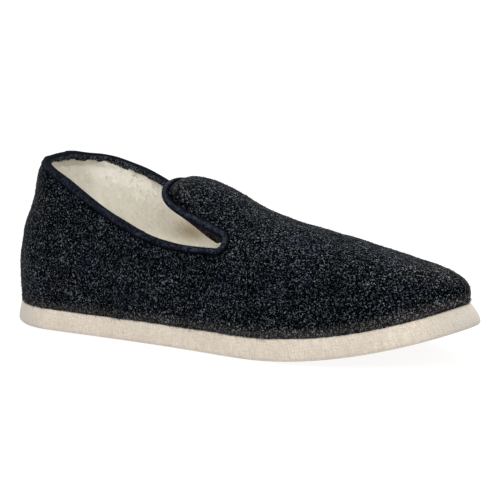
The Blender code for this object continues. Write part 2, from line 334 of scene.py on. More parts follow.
def newPiece(name, points, quads, material, uv=None, values=None):
    # mesh from arrays; a cell with a repeated corner becomes a triangle. uv and values are one row a point
    keep = quads != np.roll(quads, -1, axis=1)
    total = keep.sum(1)
    keep, total, cells = keep[total > 2], total[total > 2], quads[total > 2]
    loops = cells[keep].astype(np.int32)
    mesh = bpy.data.meshes.new(name)
    mesh.vertices.add(len(points))
    mesh.vertices.foreach_set("co", points.astype(np.float32).ravel())
    mesh.loops.add(len(loops))
    mesh.loops.foreach_set("vertex_index", loops)
    mesh.polygons.add(len(total))
    mesh.polygons.foreach_set("loop_start", np.concatenate([[0], np.cumsum(total)[:-1]]).astype(np.int32))
    mesh.update(calc_edges=True)
    mesh.shade_smooth()
    if uv is not None:
        layer = mesh.uv_layers.new(name="surface")
        layer.data.foreach_set("uv", uv[loops].astype(np.float32).ravel())
    for key, column in (values or {}).items():
        attribute = mesh.attributes.new(key, "FLOAT", "POINT")
        attribute.data.foreach_set("value", column.astype(np.float32))
    mesh.validate()
    mesh.materials.append(material)
    piece = bpy.data.objects.new(name, mesh)
    bpy.context.scene.collection.objects.link(piece)
    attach(piece, "root")
    print("  %s: %d triangles" % (name, int((total - 2).sum())))
    return piece


def upperGrid(counts):
    # the upper in patches, on each side quarter, lower vamp, upper vamp and tongue, welded;
    # rows run from the feather line up, columns from heel to toe
    feather = np.pi / 2
    quarterX = spread(heelBack, notch, counts["quarter"])
    vampX = spread(notch, toeFront, counts["vamp"])
    tongueX = spread(tip, notch, counts["tongue"])
    places, quads, start = [], [], 0
    for side in (-1, 1):
        for x, low, high, rows, droop in (
            (quarterX, feather, collarAngle(quarterX, side), counts["wallRows"], 0),
            (vampX, feather, notchAngle, counts["wallRows"], 0),
            (vampX, notchAngle, 0, counts["crownRows"], 0),
            (tongueX, tongueAngle(tongueX), 0, counts["crownRows"], opening["tongueDroop"]),
        ):
            angle = low + (high - low) * np.linspace(0, 1, rows + 1)[:, None] + 0 * x
            patch = np.stack([angle * 0 + x, angle, angle * 0 + side, angle * 0 + droop], -1)
            places.append(patch.reshape(-1, 4))
            quads.append(gridQuads(rows + 1, len(x), start, side > 0))
            start += len(places[-1])
    places = np.concatenate(places)
    return weld(upperPoint(*places.T), np.concatenate(quads), places)


def openingHalf(side, step):
    # one side's cut edge, heel to notch to tongue tip, at even steps of length;
    # the columns are x, angle, side and droop
    collarX = spread(heelBack, notch, opening["fineCount"])
    tongueX = spread(tip, notch, opening["fineCount"])[-2::-1]
    x = np.concatenate([collarX, tongueX])
    angle = np.concatenate([collarAngle(collarX, side), tongueAngle(tongueX)])
    droop = np.concatenate([collarX * 0, tongueX * 0 + opening["tongueDroop"]])
    run = runAlong(upperPoint(x, angle, side, droop))
    at = np.linspace(0, run[-1], int(run[-1] / step))
    return np.stack([np.interp(at, run, column) for column in (x, angle, 0 * x + side, droop)], -1)


def edgePath(step):
    # the whole cut edge as one ring: outer side from the heel, round the tongue, inner side back
    return np.concatenate([openingHalf(-1, step), openingHalf(1, step)[-2:0:-1]])


def edgeNear(points):
    # nearest point of the cut edge to each point, and the straight distance to it
    edge = upperPoint(*edgePath(opening["nearStep"]).T)
    squared = (points**2).sum(1)[:, None] + (edge**2).sum(1) - 2 * points @ edge.T
    nearest = edge[squared.argmin(1)]
    return nearest, np.linalg.norm(points - nearest, axis=1)


def heelTuck(x, distance):
    # how far the back of the heel is drawn in: a bell curve down the wall and a roll at the edge,
    # fading at the sides
    behind = smooth(*opening["tuckRun"], x)
    tuck = opening["heelTuck"] * bell(distance, *opening["tuckBand"])
    return behind * (tuck + opening["heelRoll"] * smooth(opening["rollDown"], 0, distance))


# node helpers: a value given as a socket also says which tree the new node goes in
def put(tree, kind, inputs=None, **fields):
    # one node, its fields set, its inputs set to values or linked from sockets
    made = tree.nodes.new("ShaderNode" + kind)
    for field, value in fields.items():
        setattr(made, field, value)
    for key, value in (inputs or {}).items():
        if isinstance(value, bpy.types.NodeSocket):
            tree.links.new(value, made.inputs[key])
        else:
            made.inputs[key].default_value = value
    return made


def calc(operation, a, b=0.0, clamp=False):
    # one step of arithmetic on two values, at least one of them a socket
    tree = (a if isinstance(a, bpy.types.NodeSocket) else b).id_data
    return put(tree, "Math", {0: a, 1: b}, operation=operation, use_clamp=clamp).outputs[0]


def times(a, b):
    # product of two values
    return calc("MULTIPLY", a, b)


def plus(a, b, clamp=False):
    # sum of two values
    return calc("ADD", a, b, clamp)


def remap(value, low, high, toLow=0.0, toHigh=1.0):
    # smooth step from one range to another
    inputs = {"Value": value, "From Min": low, "From Max": high, "To Min": toLow, "To Max": toHigh}
    return put(value.id_data, "MapRange", inputs, interpolation_type="SMOOTHSTEP").outputs[0]


def blend(factor, a, b):
    # mix of two colours, each a socket or three numbers
    a, b = ((*colour, 1) if isinstance(colour, tuple) else colour for colour in (a, b))
    return put(factor.id_data, "Mix", {0: factor, 6: a, 7: b}, data_type="RGBA").outputs[2]


def layered(colour, *layers):
    # a colour with others mixed in one after another, each by its own share
    for share, over in layers:
        colour = blend(share, colour, over)
    return colour


def noise(vector, scale, detail=2.0, rough=0.5, distortion=0.0):
    # cloudy noise, its values round one half
    inputs = {"Vector": vector, "Scale": scale, "Detail": detail, "Roughness": rough}
    inputs["Distortion"] = distortion
    return put(vector.id_data, "TexNoise", inputs).outputs[0]


def stored(tree, name):
    # a value kept on the mesh's points
    return put(tree, "Attribute", attribute_name=name).outputs["Fac"]


def newGroup(name, inputs, outputs):
    # empty shader group with its named sockets; inputs are name to default, with none for a vector
    tree = bpy.data.node_groups.new(name, "ShaderNodeTree")
    for socket, default in inputs.items():
        kind = "NodeSocketVector" if default is None else "NodeSocketFloat"
        made = tree.interface.new_socket(socket, in_out="INPUT", socket_type=kind)
        if default is not None:
            made.default_value = default
    for socket in outputs:
        tree.interface.new_socket(socket, in_out="OUTPUT", socket_type="NodeSocketFloat")
    return tree, tree.nodes.new("NodeGroupInput").outputs, tree.nodes.new("NodeGroupOutput").inputs


def place(group, vector, **inputs):
    # a group node at the vector's places, with its own values
    return put(vector.id_data, "Group", {"Vector": vector} | inputs, node_tree=group).outputs


def mottle(vector, scale, low, high):
    # soft clouds of 0 to 1, from noise between low and high
    return place(mottleGroup, vector, Scale=scale, Low=low, High=high)["Mottle"]


def newMaterial(name, **constants):
    # Principled material; constants go straight on the shader's sockets, spaces written as underscores
    material = bpy.data.materials.new(name)
    material.use_nodes = True
    tree = material.node_tree
    shader = tree.nodes["Principled BSDF"]
    for key, value in constants.items():
        shader.inputs[key.replace("_", " ")].default_value = value
    return material, tree, shader


def bumped(shader, height, strength, depth):
    # the shader's normal bent by a field of heights, depth in metres
    tree = shader.id_data
    bump = put(tree, "Bump", {"Height": height, "Strength": strength, "Distance": depth})
    tree.links.new(bump.outputs[0], shader.inputs["Normal"])


# shared effects
fleckShape = {
    "layers": ((1.0, 0.0), (1.43, 0.37)),  # size and shift of each
    "warp": 0.7,
    "breakScale": 0.8,
    "breakSoft": 0.14,
    "grainScale": 2.6,
    "grainRange": (0.25, 0.7),
    "grainTones": (0.35, 1.0),
    "napFleck": 0.6,
}
threadShape = {"drawn": (1.0, 0.12, 1.0), "yarnScale": 1.5, "yarnRange": (0.3, 0.7), "slubScale": 420.0}


def makeFleckGroup():
    # curled wool flecks: narrow bands round the middle value of a warped noise, broken up by a second
    # noise; two such layers of different size, the stronger one showing
    inputs = {"Vector": None, "Scale": 600.0, "Band": 0.1, "Gap": 0.45}
    tree, given, out = newGroup("woolFlecks", inputs, ("Fleck", "Nap"))
    layers = []
    for size, shift in fleckShape["layers"]:
        moved = {0: given["Vector"], 1: (shift, shift, shift)}
        spot = put(tree, "VectorMath", moved, operation="ADD").outputs[0]
        scale = times(given["Scale"], size)
        worm = noise(spot, scale, detail=1.0, distortion=fleckShape["warp"])
        fromMiddle = calc("ABSOLUTE", calc("SUBTRACT", worm, 0.5))
        band = remap(fromMiddle, given["Band"], 0.0)
        breaks = noise(spot, times(scale, fleckShape["breakScale"]), detail=1.0)
        gate = remap(breaks, given["Gap"], plus(given["Gap"], fleckShape["breakSoft"]))
        layers.append(times(band, gate))
    grain = noise(given["Vector"], times(given["Scale"], fleckShape["grainScale"]))
    both = calc("MAXIMUM", *layers)
    uneven = remap(grain, *fleckShape["grainRange"], *fleckShape["grainTones"])
    tree.links.new(times(both, uneven), out["Fleck"])
    tree.links.new(plus(times(both, fleckShape["napFleck"]), grain), out["Nap"])
    return tree


def makeMottleGroup():
    # cloudy unevenness, 0 to 1 with soft borders
    inputs = {"Vector": None, "Scale": 40.0, "Low": 0.35, "High": 0.65}
    tree, given, out = newGroup("softMottle", inputs, ("Mottle",))
    cloud = noise(given["Vector"], given["Scale"], detail=3.0, rough=0.55)
    tree.links.new(remap(cloud, given["Low"], given["High"]), out["Mottle"])
    return tree


def makeThreadGroup():
    # ribs of thread: a sine across the U direction whose period is in metres, loosened by noise,
    # and streaks of uneven yarn: noise drawn out along V
    inputs = {"Vector": None, "Period": 0.001, "Wander": 0.3}
    tree, given, out = newGroup("threadRibs", inputs, ("Rib", "Slub", "Streak"))
    stretched = {0: given["Vector"], 1: threadShape["drawn"]}
    drawn = put(tree, "VectorMath", stretched, operation="MULTIPLY").outputs[0]
    yarn = noise(drawn, calc("DIVIDE", threadShape["yarnScale"], given["Period"]), detail=1.0)
    tree.links.new(remap(yarn, *threadShape["yarnRange"]), out["Streak"])
    across = put(tree, "SeparateXYZ", {0: given["Vector"]}).outputs[0]
    slub = noise(given["Vector"], threadShape["slubScale"])
    shift = times(calc("SUBTRACT", slub, 0.5), given["Wander"])
    turn = plus(calc("DIVIDE", across, given["Period"]), shift)
    wave = calc("SINE", times(turn, 2 * math.pi))
    tree.links.new(plus(times(wave, 0.5), 0.5), out["Rib"])
    tree.links.new(slub, out["Slub"])
    return tree


fleckGroup = makeFleckGroup()
mottleGroup = makeMottleGroup()
threadGroup = makeThreadGroup()
print("shared effects built")


# the sole: thick felt in an ecru woven cover
sole = {
    "outlineCount": 220,
    "levels": 26,
    "edgeRound": np.array((2.0, 2.6, 1.8)) * mm,  # side, heel, toe
    "topRound": 0.8 * mm,
    "ledge": 0.2 * mm,
    "wallPower": 1.7,
    "waver": (14 * mm, 0.12 * mm),
    "seed": 3,
    "cloth": (0.704, 0.627, 0.529),
    "shade": (0.430, 0.374, 0.304),
    # painted shade: the greyer colour towards the heel and the toe
    "ends": (0.480, 0.455, 0.415),
    "speck": (0.26, 0.18, 0.13),
    "warp": {"Period": 1.2 * mm, "Wander": 0.9},
    "weft": {"Period": 0.8 * mm, "Wander": 0.8},
    "warpRib": 0.6,
    "weftRib": 0.4,
    "warpDim": 0.34,
    "weftDim": 0.36,
    "grooveDim": 0.15,
    "grainDim": 0.22,
    "grainScale": 1300.0,
    "grainRange": (0.3, 0.7),
    "dimShare": 0.8,
    "clouds": (70.0, 0.3, 0.75),
    "cloudShare": 0.25,
    "specks": {"Scale": 560.0, "Band": 0.07, "Gap": 0.62},
    "speckShare": 0.45,
    "bump": (0.3, 0.2 * mm),
    "middle": 8 * mm,
    "endShadeRun": (100 * mm, 130 * mm),
}


def edgeRound(radius, distance):
    # how far a quarter round has drawn back, at a distance from its face
    return radius * (1 - np.sqrt(1 - np.clip(1 - distance / radius, 0, 1) ** 2))


def outlineLoop(inset, height, count):
    # closed loop round an inset outline at a height over the sole's curve, outer side first
    x = spread(inset[1], last["length"] - inset[2], count)
    z = soleRise(x) + height * soleTop(x) / last["soleThickness"]
    sides = [np.stack([x, centreLine(x) + s * halfWidth(x, s, inset), z], -1) for s in (-1, 1)]
    return np.concatenate([sides[0], sides[1][-2:0:-1]]) - origin


def capQuads(start, count, flip):
    # strips across a closed loop, from its outer side to its inner one
    loop = 2 * (count - 1)
    i = np.arange(count - 1)
    quads = start + np.stack([i, i + 1, loop - i - 1, (loop - i) % loop], -1)
    return quads[:, ::-1] if flip else quads


def makeSoleMaterial():
    # threads run up the wall, U is the run round the outline and V the height; darker between the ribs and
    # in uneven yarn, and greyer towards the heel and the toe by painted shade, where the wall turns away
    # from the light
    material, tree, shader = newMaterial("soleCloth", Roughness=0.95, Specular_IOR_Level=0.15)
    uv = put(tree, "UVMap", uv_map="surface").outputs[0]
    spot = put(tree, "TexCoord").outputs["Object"]
    warp = place(threadGroup, uv, **sole["warp"])
    turned = put(tree, "Mapping", {"Vector": uv, "Rotation": (0, 0, math.pi / 2)}).outputs[0]
    weft = place(threadGroup, turned, **sole["weft"])
    cloud = mottle(spot, *sole["clouds"])
    specks = place(fleckGroup, spot, **sole["specks"])["Fleck"]
    along = put(tree, "SeparateXYZ", {0: spot}).outputs[0]
    fromMiddle = calc("ABSOLUTE", calc("SUBTRACT", along, sole["middle"]))
    weave = plus(times(warp["Rib"], sole["warpRib"]), times(weft["Rib"], sole["weftRib"]))
    dim = plus(times(warp["Streak"], sole["warpDim"]), times(weft["Streak"], sole["weftDim"]))
    dim = plus(dim, times(calc("SUBTRACT", 1.0, weave), sole["grooveDim"]))
    grain = noise(spot, sole["grainScale"], detail=1.0)
    dim = plus(dim, remap(grain, *sole["grainRange"], -sole["grainDim"], sole["grainDim"]), clamp=True)
    cloth = layered(
        sole["cloth"],
        # painted shade towards the heel and the toe
        (remap(fromMiddle, *sole["endShadeRun"]), sole["ends"]),
        (times(dim, sole["dimShare"]), sole["shade"]),
        (times(cloud, sole["cloudShare"]), sole["shade"]),
        (times(specks, sole["speckShare"]), sole["speck"]),
    )
    tree.links.new(cloth, shader.inputs["Base Color"])
    bumped(shader, plus(weave, warp["Streak"]), *sole["bump"])
    return material


def makeSole():
    # outlines stacked on the sole's curve, the flare as a power of the height and both round edges as
    # insets, closed by strips
    share = spread(0, 1, sole["levels"])
    heights = share * last["soleThickness"]
    flare = (last["featherInset"] - sole["ledge"]) * share[:, None] ** sole["wallPower"]
    low = edgeRound(sole["edgeRound"], heights[:, None])
    high = edgeRound(sole["topRound"], last["soleThickness"] - heights[:, None])
    insets = flare + low + high
    insets -= insets.min(0)
    count = sole["outlineCount"]
    loops = [outlineLoop(inset, height, count) for inset, height in zip(insets, heights)]
    loop = len(loops[0])
    points = np.concatenate(loops)
    middle = loops[len(loops) // 2]
    away = unit(middle * (1, 1, 0))
    waver = ripples(points, sole["seed"], sole["waver"]) * np.repeat(np.sin(np.pi * share), loop)
    points = points + np.tile(away, (len(loops), 1)) * waver[:, None]
    uv = np.stack([np.tile(runAlong(middle), len(loops)), np.repeat(heights, loop)], -1)
    cells = np.concatenate([
        gridQuads(len(loops), loop, closed=True),
        capQuads(len(points), count, True),
        capQuads(len(points) + loop, count, False),
    ])
    caps = np.concatenate([loops[0], loops[-1]])
    points = np.concatenate([points, caps])
    uv = np.concatenate([uv, caps[:, :2]])
    piece = newPiece("wovenSole", points, cells, makeSoleMaterial(), uv)
    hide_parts("sole")


makeSole()
print("sole made")

# the felt upper: one shell of wool felt, tucked in at the sole and pressed down along the tape
felt = {
    "counts": {"quarter": 130, "vamp": 116, "tongue": 64, "wallRows": 38, "crownRows": 32},
    "thickness": 2.2 * mm,
    "seed": 11,
    "lumps": (15 * mm, 0.20 * mm),
    "nubs": (4 * mm, 0.07 * mm),
    "nubEdge": (2 * mm, 6 * mm),
    "calmEdge": (2 * mm, 9 * mm),
    "calmFoot": 6 * mm,
    "tuckDepth": 0.35 * mm,
    "tuckHeight": 2.2 * mm,
    "tuckWaver": (11 * mm, 0.35),
    "drop": 0.45 * mm,
    "dropHeight": 2.5 * mm,
    "ragged": ((4 * mm, 0.72 * mm), (24 * mm, 0.72 * mm)),
    "grooveDepth": 0.3 * mm,
    "grooveBand": (3.9 * mm, 1.0 * mm),
    "tabRamp": 30 * mm,
    "tonguePuff": 2.2 * mm,
    "puffEdge": (1.8 * mm, 8.5 * mm),
    "dipDepth": 1.5 * mm,
    "dipAngle": 0.7,
    "dipBand": (-3 * mm, 28 * mm),
    "toeBulge": 1.9 * mm,
    "toeTuck": 1.5 * mm,
    "toeRun": (98 * mm, 124 * mm),
    "bulgeBand": (9.5 * mm, 7.5 * mm),
    "seamDepth": 0.4 * mm,
    "seamWidth": 1.1 * mm,
    "seamBack": 12 * mm,
    "seamEdge": (1 * mm, 5 * mm),
    "dark": (0.0003, 0.0010, 0.0014),
    "light": (0.30, 0.333, 0.372),
    "pale": (0.345, 0.338, 0.347),
    "navy": (0.0009, 0.0023, 0.0058),
    # painted sheen where the painted light is strongest
    "paintedHaze": (0.0058, 0.0054, 0.0055),
    # painted light along the sole
    "hem": (0.0210, 0.0195, 0.0175),
    "sheen": 0.06,
    "sheenRough": 0.3,
    "flecks": {"Scale": 1150.0, "Band": 0.10, "Gap": 0.56},
    "patches": (62.0, 0.45, 0.72),
    "clouds": (150.0, 0.25, 0.75),
    "hemTones": (0.6, 1.2),
    "fleckTones": (0.45, 1.0),
    "bump": (0.55, 0.35 * mm),
    # painted light: how thick the pale flecks lie by how far the felt faces up
    "slope": (0.0, 0.45, 0.75, 1.0),
    "slopeLight": (1.02, 0.79, 0.92, 1.06),
    "paintedSheenRange": (1.05, 1.5),
    "toeLight": 0.28,
    "toeLightRun": (80 * mm, 115 * mm),
    "tabLight": 0.5,
    "tabEdge": (16 * mm, 4 * mm),
    "tipShade": 0.75,
    "tipRun": (26 * mm, 12 * mm),
    "tipEdge": (7.5 * mm, 4.8 * mm),
    "hemRise": (7.4 * mm, 0.5 * mm),
    "hemPower": 2.3,
    "hemTone": 2.1,
    "hemHeel": 0.42,
    "hemRun": (-70 * mm, 15 * mm),
}

# soft creases, one by one: share of the length, girth angle and turn in degrees, the rest in mm
creaseColumns = ("station", "girth", "side", "turn", "length", "width", "depth")
creases = (
    (0.665, 22, -1, 82, 26, 5.0, 0.55),
    (0.615, 40, -1, 66, 20, 4.0, 0.40),
    (0.700, 30, 1, 98, 24, 5.0, 0.50),
    (0.560, 66, -1, 34, 16, 3.5, 0.35),
    (0.560, 66, 1, -34, 16, 3.5, 0.35),
    (0.210, 74, -1, 14, 24, 5.0, 0.40),
    (0.240, 70, 1, -18, 22, 5.0, 0.40),
    (0.860, 48, -1, 12, 22, 5.0, 0.35),
)
creaseShape = {"ridge": 1.1, "fade": 2.2, "wall": 14 * mm, "step": 0.5 * mm, "turnStep": 0.01}


def creaseHeight(points):
    # each crease is a trough with a low ridge on both sides, fading along its length and off its own wall
    total = np.zeros(len(points))
    for row in creases:
        c = dict(zip(creaseColumns, row))
        spot = np.array([c["station"] * last["length"], math.radians(c["girth"]), c["side"], 0.0])
        centre = upperPoint(*spot)
        along = unit(upperPoint(*(spot + (creaseShape["step"], 0, 0, 0))) - centre)
        around = unit(upperPoint(*(spot - (0, creaseShape["turnStep"], 0, 0))) - centre)
        facing = unit(np.cross(along, around)) * -c["side"]
        turn = math.radians(c["turn"])
        ahead = unit(along * math.cos(turn) + around * math.sin(turn))
        offset = points - centre
        t = (offset @ ahead) / (c["length"] * mm)
        w = (offset @ np.cross(facing, ahead)) / (c["width"] * mm)
        trough = (1 - creaseShape["ridge"] * w**2) * np.exp(-(w**2) - creaseShape["fade"] * t**2)
        total -= c["depth"] * mm * trough * bell(offset @ facing, 0, creaseShape["wall"])
    return total


def makeFeltMaterial():
    # near black wool with pale curled flecks, in places bluer; painted light lays the flecks thicker, with a
    # painted sheen of grey haze and paler, warmer flecks where it is strongest, and paler painted light
    # along the sole
    material, tree, shader = newMaterial("woolFelt", Roughness=1.0, Specular_IOR_Level=0.0,
                                         Sheen_Weight=felt["sheen"], Sheen_Roughness=felt["sheenRough"])
    spot = put(tree, "TexCoord").outputs["Object"]
    wool = place(fleckGroup, spot, **felt["flecks"])
    patches = mottle(spot, *felt["patches"])
    tone = mottle(spot, *felt["clouds"])
    # painted light: the share lays the pale flecks thicker
    share = stored(tree, "share")
    # painted sheen: grey haze and paler flecks where the painted light is strongest
    paintedSheen = remap(share, *felt["paintedSheenRange"])
    # painted light along the sole
    hem = times(stored(tree, "hem"), remap(tone, 0.0, 1.0, *felt["hemTones"]))
    light = blend(paintedSheen, felt["light"], felt["pale"])
    bright = times(times(wool["Fleck"], remap(tone, 0.0, 1.0, *felt["fleckTones"])), share)
    cloth = layered(felt["dark"], (patches, felt["navy"]), (paintedSheen, felt["paintedHaze"]), (hem, felt["hem"]),
                    (bright, light))
    tree.links.new(cloth, shader.inputs["Base Color"])
    bumped(shader, wool["Nap"], *felt["bump"])
    return material


def makeFelt():
    # the last's grid moved along its own normals by lumps, creases, groove, back seam and tuck, which are
    # bell curves and smooth steps of the distances to the cut edge and the sole, then given thickness
    points, quads, places = upperGrid(felt["counts"])
    facing = normalsOf(points, quads)
    distance = edgeNear(points)[1]
    x, seed = points[:, 0], felt["seed"]
    rise = points[:, 2] - featherHeight(places[:, 0])
    calm = smooth(*felt["calmEdge"], distance) * smooth(0, felt["calmFoot"], rise)
    move = ripples(points, seed, felt["lumps"]) * calm
    move += ripples(points, seed + 1, felt["nubs"]) * smooth(*felt["nubEdge"], distance)
    move += creaseHeight(points) * calm
    move -= felt["grooveDepth"] * bell(distance, *felt["grooveBand"])
    seam = bell(points[:, 1], 0, felt["seamWidth"]) * (places[:, 0] < felt["seamBack"])
    move -= felt["seamDepth"] * seam * smooth(*felt["seamEdge"], distance)
    tuck = np.clip(1 - rise / felt["tuckHeight"], 0, 1) ** 2
    move -= felt["tuckDepth"] * tuck * (1 + ripples(points, seed + 2, felt["tuckWaver"]))
    onTongue = (places[:, 3] > 0) * smooth(notch, notch - felt["tabRamp"], places[:, 0])
    move += felt["tonguePuff"] * onTongue * smooth(*felt["puffEdge"], distance)
    move -= felt["dipDepth"] * bell(places[:, 1], 0, felt["dipAngle"]) * bell(x, *felt["dipBand"])
    blunt = felt["toeBulge"] * bell(rise, *felt["bulgeBand"]) - felt["toeTuck"] * tuck
    move += blunt * smooth(*felt["toeRun"], x)
    move -= heelTuck(x, distance)
    shaped = points + facing * move[:, None]
    low = np.clip(1 - rise / felt["dropHeight"], 0, 1)
    shaped[:, 2] -= low * (felt["drop"] + ripples(points, seed + 3, *felt["ragged"]))
    solid, cells = shell(shaped, shaped - facing * felt["thickness"], quads)
    # painted light: pale flecks lie thicker on faces turned up, at the toe and on the tongue; painted shade
    # beside the tape round the tongue's tip, where few lie
    share = np.interp(facing[:, 2], felt["slope"], felt["slopeLight"])
    share *= 1 + felt["toeLight"] * smooth(*felt["toeLightRun"], x)
    share *= 1 + felt["tabLight"] * onTongue * smooth(*felt["tabEdge"], distance)
    atTip = onTongue * smooth(*felt["tipRun"], places[:, 0] - tip)
    share *= 1 - felt["tipShade"] * atTip * smooth(*felt["tipEdge"], distance)
    # painted light along the sole, where the tucked felt is shaded, most from the middle to the toe
    hemLight = felt["hemHeel"] + (1 - felt["hemHeel"]) * smooth(*felt["hemRun"], x)
    hem = hemLight * smooth(*felt["hemRise"], rise) ** felt["hemPower"]
    share *= 1 + felt["hemTone"] * hem
    piece = newPiece("feltUpper", solid, cells, makeFeltMaterial(),
                     values={"share": np.tile(share, 2), "hem": np.tile(hem, 2)})
    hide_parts("upper")
    return shaped, quads, distance, places


feltPoints, feltQuads, feltDistance, feltPlaces = makeFelt()
print("felt upper made")

# the collar tape, folded over the cut edge: section in mm, up over the edge and proud of the felt's face
tape = {
    "step": 0.25 * mm,
    "sectionCount": 30,
    "legReach": 2.6 * mm,
    "mostDown": 1.3,
    "up": (-3.45, -3.15, -2.40, -1.20, -0.10, 0.45, 0.62, 0.45, -0.10,
           -1.30, -2.60, -3.30, -3.00, -1.45, -0.25, -0.25, -1.45, -2.80),
    "proud": (-0.20, 0.40, 0.72, 0.90, 0.88, 0.35, -1.25, -2.80, -3.30,
              -3.50, -3.62, -3.40, -3.05, -2.75, -2.35, -0.35, 0.10, -0.15),
    "shownPoints": 11.5,
    "seed": 21,
    "ribPeriod": 0.85 * mm,
    "ribHeight": 0.04 * mm,
    "ribWander": 0.25,
    "waver": (16 * mm, 0.12 * mm),
    "lapStart": 5 * mm,
    "lapStep": 0.5 * mm,
    "lapLength": 20 * mm,
    "lapFade": 15 * mm,
    "lapHeight": 0.35 * mm,
    "bunch": 0.3 * mm,
    "bunchReach": 4 * mm,
    "bunchUp": (-1.2 * mm, 0.3 * mm),
    "lipOut": 3.4 * mm,
    "lipRamp": 6.5 * mm,
    "lipReach": 17 * mm,
    "lipUp": (-2.6 * mm, -0.2 * mm),
    "lipProud": (-0.8 * mm, -1.6 * mm),
    "lipWarm": 1.5,
    "legEndUp": (-2.0 * mm, -3.2 * mm),
    "innerLeg": -2.9 * mm,
    "outerLeg": -0.5 * mm,
    "ragged": ((6 * mm, 0.7 * mm), (2.6 * mm, 0.7 * mm)),
    "legShort": 1.5 * mm,
    "shortRun": (-94 * mm, -68 * mm),
    "cloth": (0.0020, 0.0025, 0.0054),
    # colour of the painted shade along the felt
    "edge": (0.0014, 0.0015, 0.0022),
    # colour of the painted highlight on the fold
    "thread": (0.0300, 0.0365, 0.0530),
    "fleck": (0.11, 0.12, 0.135),
    "lip": (0.095, 0.078, 0.060),
    "lipDark": (0.006, 0.005, 0.004),
    "napScale": 900.0,
    "napRange": (0.38, 0.62),
    "highlightTones": (0.15, 0.9),
    "fluff": {"Scale": 900.0, "Band": 0.13, "Gap": 0.46},
    "clouds": (130.0, 0.35, 0.7),
    "cloudTones": (0.5, 1.2),
    "sheen": 0.2,
    "bump": (0.4, 0.15 * mm),
    "borderShade": 0.75,
    "fleckProud": (-2.8 * mm, -3.2 * mm),
    "ridgeBand": (-1.0 * mm, 1.35 * mm),
    "ridgeProud": (-2.6 * mm, -0.8 * mm),
}


def edgeFrame(places):
    # points, outward normals and both slopes of the upper's face, from small steps along x and the girth
    step, turn = 0.02 * mm, 1e-4
    points = upperPoint(*places.T)
    along = (upperPoint(*(places + (step, 0, 0, 0)).T) - points) / step
    around = (upperPoint(*(places + (0, turn, 0, 0)).T) - points) / turn
    facing = places[:, 2:3] * unit(np.cross(along, around))
    return points, facing, np.stack([along, around], -1)


def closedCurve(values, count):
    # periodic curve through the values: their Fourier sum, sampled evenly
    terms = np.fft.rfft(values)
    if len(values) % 2 == 0:
        terms[-1] /= 2
    return np.fft.irfft(terms, count) * count / len(values)


def makeTapeMaterial():
    # fuzzy cloth with a painted highlight along its fold and painted shade along the felt, on the inside the
    # felt's own flecks, and brown flecks on the lip beside the notch
    material, tree, shader = newMaterial("bindingTape", Roughness=0.9, Specular_IOR_Level=0.0,
                                         Coat_Roughness=0.42, Coat_IOR=1.25)
    uv = put(tree, "UVMap", uv_map="surface").outputs[0]
    spot = put(tree, "TexCoord").outputs["Object"]
    ribs = place(threadGroup, uv, Period=tape["ribPeriod"], Wander=tape["ribWander"])
    cloud = mottle(spot, *tape["clouds"])
    fluff = place(fleckGroup, spot, **tape["fluff"])["Fleck"]
    nap = remap(noise(spot, tape["napScale"]), *tape["napRange"])
    # painted highlight along the fold in the thread colour, broken up by nap and clouds
    ridge = stored(tree, "ridge")
    paintedHighlight = times(nap, remap(ridge, 0.0, 1.0, *tape["highlightTones"]))
    paintedHighlight = times(paintedHighlight, remap(cloud, 0.0, 1.0, *tape["cloudTones"]))
    cloth = layered(
        tape["cloth"],
        (paintedHighlight, tape["thread"]),
        # painted shade along the felt, in the edge colour
        (stored(tree, "border"), tape["edge"]),
        (times(fluff, stored(tree, "inside")), tape["fleck"]),
        (stored(tree, "warm"), blend(fluff, tape["lipDark"], tape["lip"])),
    )
    tree.links.new(cloth, shader.inputs["Base Color"])
    tree.links.new(times(ridge, tape["sheen"]), shader.inputs["Coat Weight"])
    bumped(shader, plus(ribs["Rib"], ribs["Slub"]), *tape["bump"])
    return material


